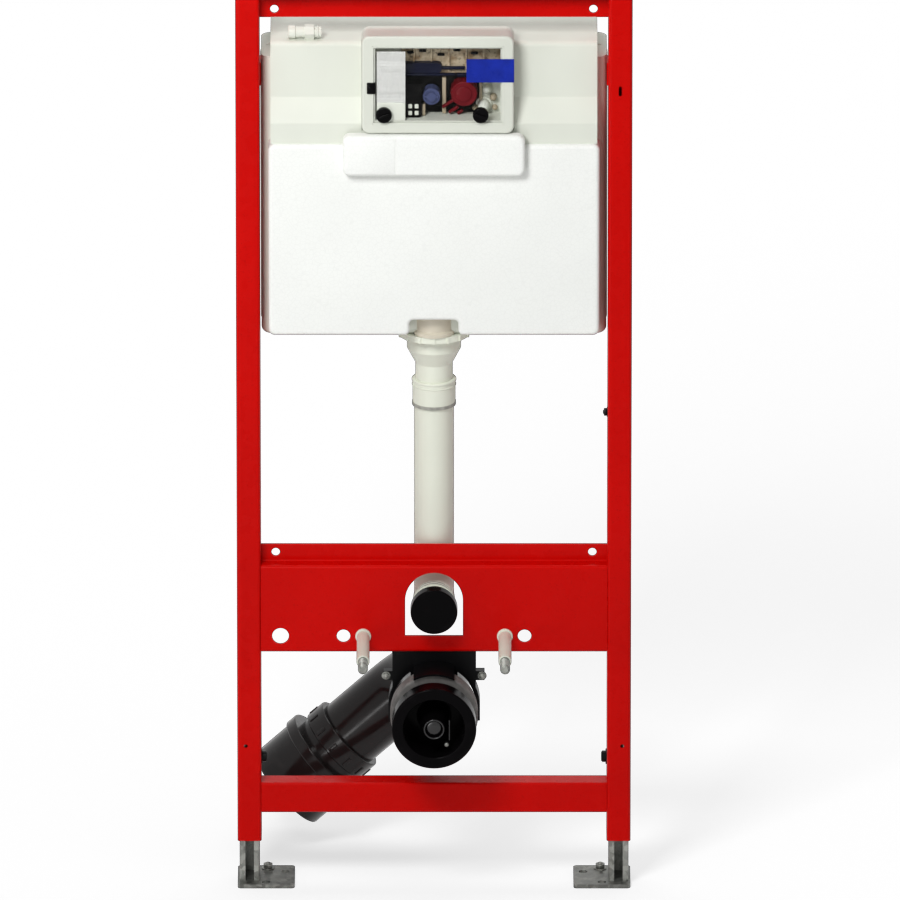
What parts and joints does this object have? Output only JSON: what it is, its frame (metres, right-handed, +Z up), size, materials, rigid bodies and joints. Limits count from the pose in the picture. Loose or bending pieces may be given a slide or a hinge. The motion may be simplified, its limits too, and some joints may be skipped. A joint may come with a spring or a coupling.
{
  "type": "wall hung toilet frame",
  "caption": "Red steel wall frame on telescopic feet with a concealed cistern, flush pipe, waste bend and threaded studs to carry a wall hung toilet pan.",
  "frame": {"origin": "on the floor, midway between the foot plates, on the posts' centre line", "axes": "+Z up along the posts, +X to the right seen from the front, +Y towards the wall"},
  "size_m": [0.5, 0.3462, 1.196],
  "materials": {
    "red_steel": "glossy powder coat",
    "zinc_steel": "galvanised",
    "black_fixing": "black coat",
    "white_foam": "moulded foam",
    "tank_plastic": "satin moulding",
    "clear_plastic": "clear",
    "card": "plain card",
    "blue_tag": "plain film",
    "navy_plastic": "moulding",
    "blue_grey_plastic": "moulding",
    "red_plastic": "moulding",
    "pipe_plastic": "satin moulding",
    "grey_rubber": "seal",
    "sleeve_plastic": "satin moulding",
    "black_plastic": "moulding"
  },
  "bodies": {
    "frame": {"left_post": "red_steel", "right_post": "red_steel", "top_rail": "red_steel", "fixing_plate": "red_steel", "bottom_rail": "red_steel", "left_clamp_screw": "black_fixing", "right_clamp_screw": "black_fixing", "left_cistern_bracket": "red_steel", "right_cistern_bracket": "red_steel", "cistern_tank": "tank_plastic", "insulation_shell": "white_foam", "cistern_lid": "tank_plastic", "front_pad": "white_foam", "inspection_box": "tank_plastic", "clear_cover": "clear_plastic", "info_card": "card", "cover_tag": "blue_tag", "lift_lever": "navy_plastic", "fill_valve": "black_plastic", "fill_knob": "blue_grey_plastic", "flush_knob": "red_plastic", "left_cover_knob": "black_plastic", "right_cover_knob": "black_plastic", "inlet_fitting": "tank_plastic", "outlet_nut": "pipe_plastic", "flush_funnel": "pipe_plastic", "bead_ring": "grey_rubber", "flush_pipe": "pipe_plastic", "flush_bend": "pipe_plastic", "flush_cap": "black_plastic", "waste_bend": "black_plastic", "waste_branch": "black_plastic", "waste_cap": "black_plastic", "pipe_clip": "grey_rubber", "waste_hanger": "black_fixing", "left_stud": "zinc_steel", "right_stud": "zinc_steel", "left_stud_sleeve": "sleeve_plastic", "right_stud_sleeve": "sleeve_plastic"},
    "left_foot": {"left_leg": "zinc_steel", "left_foot_plate": "zinc_steel"},
    "right_foot": {"right_leg": "zinc_steel", "right_foot_plate": "zinc_steel"}
  },
  "joints": [
    {"name": "left_foot_slide", "type": "slide", "parent": "frame", "child": "left_foot", "axis": [0, 0, -1], "range_m": [-0.05, 0.15]},
    {"name": "right_foot_slide", "type": "slide", "parent": "frame", "child": "right_foot", "axis": [0, 0, -1], "range_m": [-0.05, 0.15]}
  ]
}
